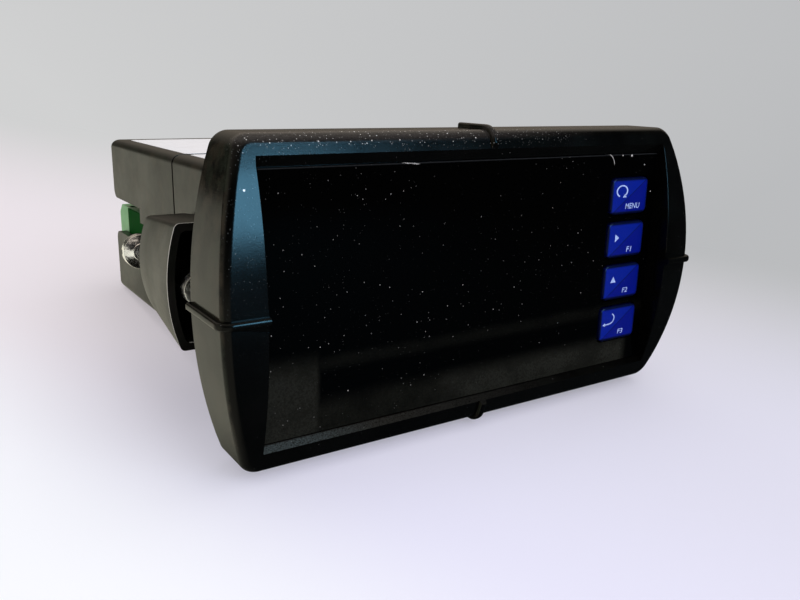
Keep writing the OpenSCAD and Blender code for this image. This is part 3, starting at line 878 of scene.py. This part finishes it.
white_ink = Finish("white_ink", (0.42, 0.5, 0.78), 0.6)
worn = white_ink.noise(0.4, 2) * 0.7
white_ink.paint(Base_Color=white_ink.mix(worn, (0.46, 0.55, 0.85), (0.12, 0.2, 0.5)))

# %% Key caps


def key_cap(node, centre):
    """One cap with its rounded corners, softened front edge and skirt."""
    low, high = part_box(node)
    w, h = key_w * mm / 2, key_h * mm / 2
    cap = block(node + "_cap", (centre.x - w, low.y, centre.z - h), (centre.x + w, high.y, centre.z + h))
    round_edges(cap, 1.6 * mm, lambda a, b: abs(a.y - b.y) > mm, segments=6)
    round_edges(cap, 0.4 * mm, lambda a, b: max(a.y, b.y) < low.y + 0.1 * mm)
    combine(cap, block("skirt", (low.x, high.y - 0.8 * mm, low.z), high), "UNION")
    smooth(cap, 35)
    return dress(cap, node.replace("_key", "_button"), blue.material, "key_blue", node)


for name, centre in zip(key_nodes, key_centres):
    key_cap(name, centre)

# %% [markdown]
# The legends are printed. Each one is a flat shape laid on the cap, 0.02 mm proud of it: letters from
# Blender's own typeface, triangles from three-sided circles, and curved arrows from bent strokes.

# %% Helpers for legends
ink_y = key_front - 0.02 * mm
upright = Matrix.Rotation(math.radians(90), 4, "X")


def fit_legend(piece, name, key, left, right, top, bottom):
    """Lays a flat shape on a key, between shares of the key's width and height."""
    choose(piece)
    bpy.ops.object.convert(target="MESH")
    piece = bpy.context.object
    piece.name = piece.data.name = name
    xs = [v.co.x for v in piece.data.vertices]
    ys = [v.co.y for v in piece.data.vertices]
    centre = key_centres[key]
    w = (right - left) * key_w * mm / (max(xs) - min(xs))
    h = (bottom - top) * key_h * mm / (max(ys) - min(ys))
    middle = Vector((
        centre.x + ((left + right) / 2 - 0.5) * key_w * mm,
        ink_y,
        centre.z - ((top + bottom) / 2 - 0.5) * key_h * mm,
    ))
    piece.data.transform(
        Matrix.Translation(middle)
        @ upright
        @ Matrix.Diagonal((w, h, 1, 1))
        @ Matrix.Translation((-(max(xs) + min(xs)) / 2, -(max(ys) + min(ys)) / 2, 0))
    )
    piece.matrix_world = Matrix.Identity(4)
    return dress(piece, key_nodes[key].replace("_key", "_button"), white_ink.material, "key_blue")


def word(text, key, left, right, top, bottom):
    """A word in slightly slanted, slightly bold letters."""
    choose_none()
    bpy.ops.object.text_add()
    piece = bpy.context.object
    piece.data.body = text
    piece.data.shear = 0.12
    piece.data.offset = 0.008
    return fit_legend(piece, "legend_" + text.lower(), key, left, right, top, bottom)


def flat_triangle(name, radius, turn, place=(0, 0)):
    """A three-sided face that points up, turned to the left by an angle in degrees."""
    choose_none()
    turn = math.radians(turn)
    bpy.ops.mesh.primitive_circle_add(
        vertices=3, radius=radius, fill_type="NGON", location=(*place, 0), rotation=(0, 0, turn)
    )
    return settle(name)


def bent_stroke(name, points, width):
    """A flat ribbon along a smooth line: a standing strip is thickened, and only its top is kept."""
    curve = bpy.data.curves.new(name, "CURVE")
    curve.dimensions = "2D"
    spline = curve.splines.new("NURBS")
    spline.points.add(len(points) - 1)
    for point, place in zip(spline.points, points):
        point.co = (*place, 0, 1)
    spline.use_endpoint_u = True
    spline.order_u = 3
    curve.extrude, curve.resolution_u = 0, 6
    stroke = bpy.data.objects.new(name, curve)
    bpy.context.scene.collection.objects.link(stroke)
    choose(stroke)
    bpy.ops.object.convert(target="MESH")
    stroke = bpy.context.object
    pick(stroke, "VERT", lambda corner: True)
    bpy.ops.mesh.extrude_edges_move(TRANSFORM_OT_translate={"value": (0, 0, width)})
    close(stroke)
    apply_modifier(stroke, "SOLIDIFY", thickness=width, offset=0)
    pick(stroke, "FACE", lambda face: face.normal.z < 0.9)
    bpy.ops.mesh.delete(type="FACE")
    close(stroke)
    stroke.data.transform(Matrix.Translation((0, 0, -width)))
    return stroke


def arrow(name, key, points, tip, turn, size, left, right, top, bottom, width):
    """A bent stroke with a solid head at its end, both flat."""
    stroke = bent_stroke(name, points, width)
    head = flat_triangle("head", size, turn, tip)
    choose(stroke)
    head.select_set(True)
    bpy.ops.object.join()
    return fit_legend(stroke, name, key, left, right, top, bottom)


# %% Legends
MENU, RIGHT, UP, ENTER = range(4)
word("MENU", MENU, 0.40, 0.80, 0.70, 0.85)
word("F1", RIGHT, 0.545, 0.69, 0.71, 0.86)
word("F2", UP, 0.54, 0.69, 0.69, 0.83)
word("F3", ENTER, 0.52, 0.67, 0.70, 0.84)
fit_legend(flat_triangle("sign_right", 1, -90), "sign_right", RIGHT, 0.20, 0.31, 0.33, 0.55)
fit_legend(flat_triangle("sign_up", 1, 0), "sign_up", UP, 0.18, 0.33, 0.32, 0.50)
ring = [(math.cos(math.radians(a)), math.sin(math.radians(a))) for a in range(246, -56, -20)]
arrow("sign_loop", MENU, ring, (0.55, -0.93), 120, 0.42, 0.12, 0.44, 0.19, 0.53, width=0.24)
hook = [(0.55, 1.0), (0.95, 0.75), (1.05, 0.2), (0.75, -0.35), (0.1, -0.62), (-0.8, -0.62)]
arrow("sign_return", ENTER, hook, (-0.95, -0.62), 90, 0.34, 0.07, 0.40, 0.20, 0.56, width=0.2)

# %% [markdown]
# ## Screws, feet and terminals
#
# The clamp screws and their feet are plated steel and mirror the whole room. The screws' heads are
# turned to a slight dome, which a flat copy lacks, so the relief adds it. The feet are stamped, and a
# crinkle in the relief breaks up what they mirror. The terminals are green nylon with duller screws.

# %% Metal and green plastic
screw_x = 54


def metal(name, colour, roughness, wear, dome=0, crinkle=0):
    """Plated or bare steel. A dome is the radius to which a screw's head is turned."""
    finish = Finish(name, colour, roughness, Metallic=1.0)
    cloud = finish.noise(2.2, 4, 0.6)
    scratch = finish.noise(1, 3, 0.7, finish.squeeze(2.5, 0.3, 2.5))
    dull = cloud.above(0.55, 0.15) * wear
    finish.paint(
        Base_Color=finish.mix(dull, colour, tuple(c * 0.45 for c in colour)),
        Roughness=cloud * 0.15 + dull * 0.5 + (roughness - 0.05),
    )
    height = scratch * 0.004
    if dome:
        x, y, z = finish.axes()
        off_axis = (abs(x) - screw_x).square() + z.square()
        height = height + off_axis / (2 * dome) + finish.noise(1.1, 2) * 0.08
    if crinkle:
        height = height + finish.noise(0.9, 3, 0.6) * crinkle
    finish.bump(height, 1.0)
    return finish.material


def green_plastic(name, colour, ior):
    """A moulded green, a little paler and greyer in patches."""
    finish = Finish(name, colour, 0.42, IOR=ior)
    cloud = finish.noise(5, 4, 0.6)
    patches = cloud.above(0.5, 0.3) * 0.35
    finish.paint(
        Base_Color=finish.mix(patches, colour, tuple(c * 0.6 + 0.02 for c in colour)),
        Roughness=cloud * 0.15 + 0.36,
    )
    finish.bump(finish.noise(0.3, 2), 0.004)
    return finish.material


chrome = metal("plated_steel", (0.93, 0.93, 0.95), 0.12, wear=0.15, dome=15)
foot_steel = metal("foot_steel", (0.85, 0.86, 0.87), 0.2, wear=0.3, crinkle=0.35)
terminal_steel = metal("terminal_steel", (0.66, 0.65, 0.62), 0.32, wear=0.5)
light_green = green_plastic("terminal_green", (0.15, 0.44, 0.17), 1.45)
# painted shade: the headers' green is painted much darker than the plugs', and mirrors almost nothing
shaded_green = green_plastic("header_green", (0.0015, 0.06, 0.006), 1.02)

# %% Screws, feet, plugs and headers
for hand in ("left", "right"):
    screw = fair_copy(hand + "_clamp_screw", hand + "_screw_body", 0.12, 35)
    dress(screw, hand + "_screw", chrome, "screw_chrome", hand + "_clamp_screw")
    pad = fair_copy(hand + "_clamp_pad", hand + "_pad", 0.1, 35)
    dress(pad, hand + "_foot", foot_steel, "pad_steel", hand + "_clamp_pad")
for row in ("power", "input", "output"):
    plug = fair_copy(row + "_plug", row + "_plug_body", 0.15)
    dress(plug, row + "_terminal", light_green, "plug_green", row + "_plug")
    header = fair_copy(row + "_header", row + "_header_body", 0.15)
    dress(header, "meter", shaded_green, "header_green", row + "_header")
    coat(nodes[row + "_screws"], terminal_steel)

# painted shade: a thin dark-green sheet lies along the side of each outer plug, where the notch of the
# case leaves it in shadow
sheet_gap, sheet_t = 0.15 * mm, 0.3 * mm
for row, side_x in (("power", -1), ("output", 1)):
    low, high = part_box(row + "_header")
    near = max(abs(low.x), abs(high.x)) + sheet_gap
    left_x, right_x = sorted((side_x * near, side_x * (near + sheet_t)))
    shade_sheet = block(row + "_shroud", (left_x, high.y - 6 * mm, low.z), (right_x, high.y + 11 * mm, high.z))
    round_edges(shade_sheet, 0.08 * mm, segments=2)
    dress(smooth(shade_sheet), "meter", shaded_green, "header_green")

# %% [markdown]
# ## The label
#
# A blank white label lies on top of the case, across the joint of its two halves, and is cut at the
# joint so that the case still opens. Each half is a thin plate with its four corners rounded.

# %% Label on the case
label_paper = Finish("label_paper", (0.82, 0.82, 0.83), 0.5)
smudge = label_paper.noise(7, 4, 0.6).above(0.5, 0.2)
fibre = label_paper.noise(0.2, 2)
label_paper.paint(
    Base_Color=label_paper.mix(smudge * 0.3 + fibre * 0.12, (0.84, 0.84, 0.86), (0.55, 0.54, 0.52)),
    Roughness=smudge * 0.2 + 0.42,
)
label_paper.bump(fibre, 0.003)
case_top, case_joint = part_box("rear_case")[1].z, lip_y + 0.2 * mm
label_x, sunk, proud = 41.8 * mm, 0.05 * mm, 0.079 * mm
halves = {
    "label_front": (14 * mm, case_joint - 1.3 * mm),
    "label_rear": (case_joint + 1.6 * mm, 100 * mm),
}
for name, (start, end) in halves.items():
    label = block(name, (-label_x, start, case_top - sunk), (label_x, end, case_top + proud))
    round_edges(label, 1.2 * mm, lambda a, b: abs(a.z - b.z) > 0.05 * mm, segments=5)
    round_edges(label, 0.03 * mm, lambda a, b: min(a.z, b.z) > case_top, segments=2)
    dress(smooth(label), "meter", label_paper.material, "case_black")

# %% [markdown]
# ## Inside the case
#
# Nothing inside is seen while the meter is whole, but each piece still gets the finish of the real one,
# since the model can be opened: laminated steel, yellow tape, blue relays, dark sleeves and green board.

# %% Helpers for the inner parts


def plain_finish(name, colour, other, roughness, size, metallic=0.0):
    """A moulded or printed finish whose colour drifts towards a second one."""
    finish = Finish(name, colour, roughness, Metallic=metallic)
    cloud = finish.noise(size, 4, 0.6)
    fine = finish.noise(0.3, 3, 0.6)
    dots = finish.specks(2.3, 0.1, 0.06)
    tone = finish.mix(cloud.above(0.5, 0.25) * 0.7, colour, other)
    finish.paint(
        Base_Color=finish.mix(dots * 0.4, tone, (0.5, 0.48, 0.45)),
        Roughness=cloud * 0.16 + (roughness - 0.08),
    )
    finish.bump(fine, 0.004)
    return finish


def stripes(place, pitch, width):
    """1 on lines that repeat along a place in millimetres."""
    return abs((place / pitch).past_whole()).below(width / pitch / 2, 0.02)


def recolour(finish, *names):
    """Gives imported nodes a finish."""
    for name in names:
        coat(nodes[name], finish.material)
    print(finish.material.name, "on", ", ".join(names))


# %% Boards, displays and parts of the supply
mask_green, copper_green = (0.012, 0.10, 0.03), (0.03, 0.19, 0.07)
board = plain_finish("solder_mask", mask_green, (0.02, 0.14, 0.05), 0.3, 6)
x, y, z = board.axes()
tracks = stripes(x + y, 2.54, 0.5) * board.noise(7, 2).above(0.5, 0.02)
board.paint(Base_Color=board.mix(tracks * 0.7, mask_green, copper_green))
recolour(board, "main_board", "display_board")

display_red = plain_finish("display_red", (0.03, 0.006, 0.006), (0.045, 0.01, 0.01), 0.22, 4)
recolour(display_red, "main_display", "lower_display")
recolour(plain_finish("switch_black", (0.02, 0.02, 0.022), (0.03, 0.03, 0.03), 0.4, 2), "key_switches")
nylon = plain_finish("connector_nylon", (0.62, 0.57, 0.43), (0.55, 0.48, 0.33), 0.45, 4)
recolour(nylon, "board_connector")
recolour(plain_finish("relay_case", (0.02, 0.09, 0.35), (0.03, 0.12, 0.4), 0.32, 6), "relays")

steel_grey = (0.36, 0.35, 0.33)
core = plain_finish("core_steel", steel_grey, (0.26, 0.22, 0.18), 0.42, 5, metallic=0.9)
x, y, z = core.axes()
core.paint(Base_Color=core.mix(stripes(y, 0.5, 0.14) * 0.8, steel_grey, (0.08, 0.07, 0.06)))
recolour(core, "transformer_core")

tape = plain_finish("winding_tape", (0.72, 0.46, 0.05), (0.6, 0.36, 0.03), 0.28, 4)
x, y, z = tape.axes()
tape.bump(stripes(z, 5.0, 0.3) + tape.noise(0.4, 2) * 0.1, 0.02)
recolour(tape, "transformer_coil")

sleeve_blue = (0.012, 0.016, 0.03)
sleeve = plain_finish("capacitor_sleeve", sleeve_blue, (0.02, 0.025, 0.04), 0.3, 3)
x, y, z = sleeve.axes()
sleeve.paint(Base_Color=sleeve.mix(stripes(x + 28, 40, 1.6) * 0.8, sleeve_blue, (0.5, 0.52, 0.55)))
recolour(sleeve, "capacitors")
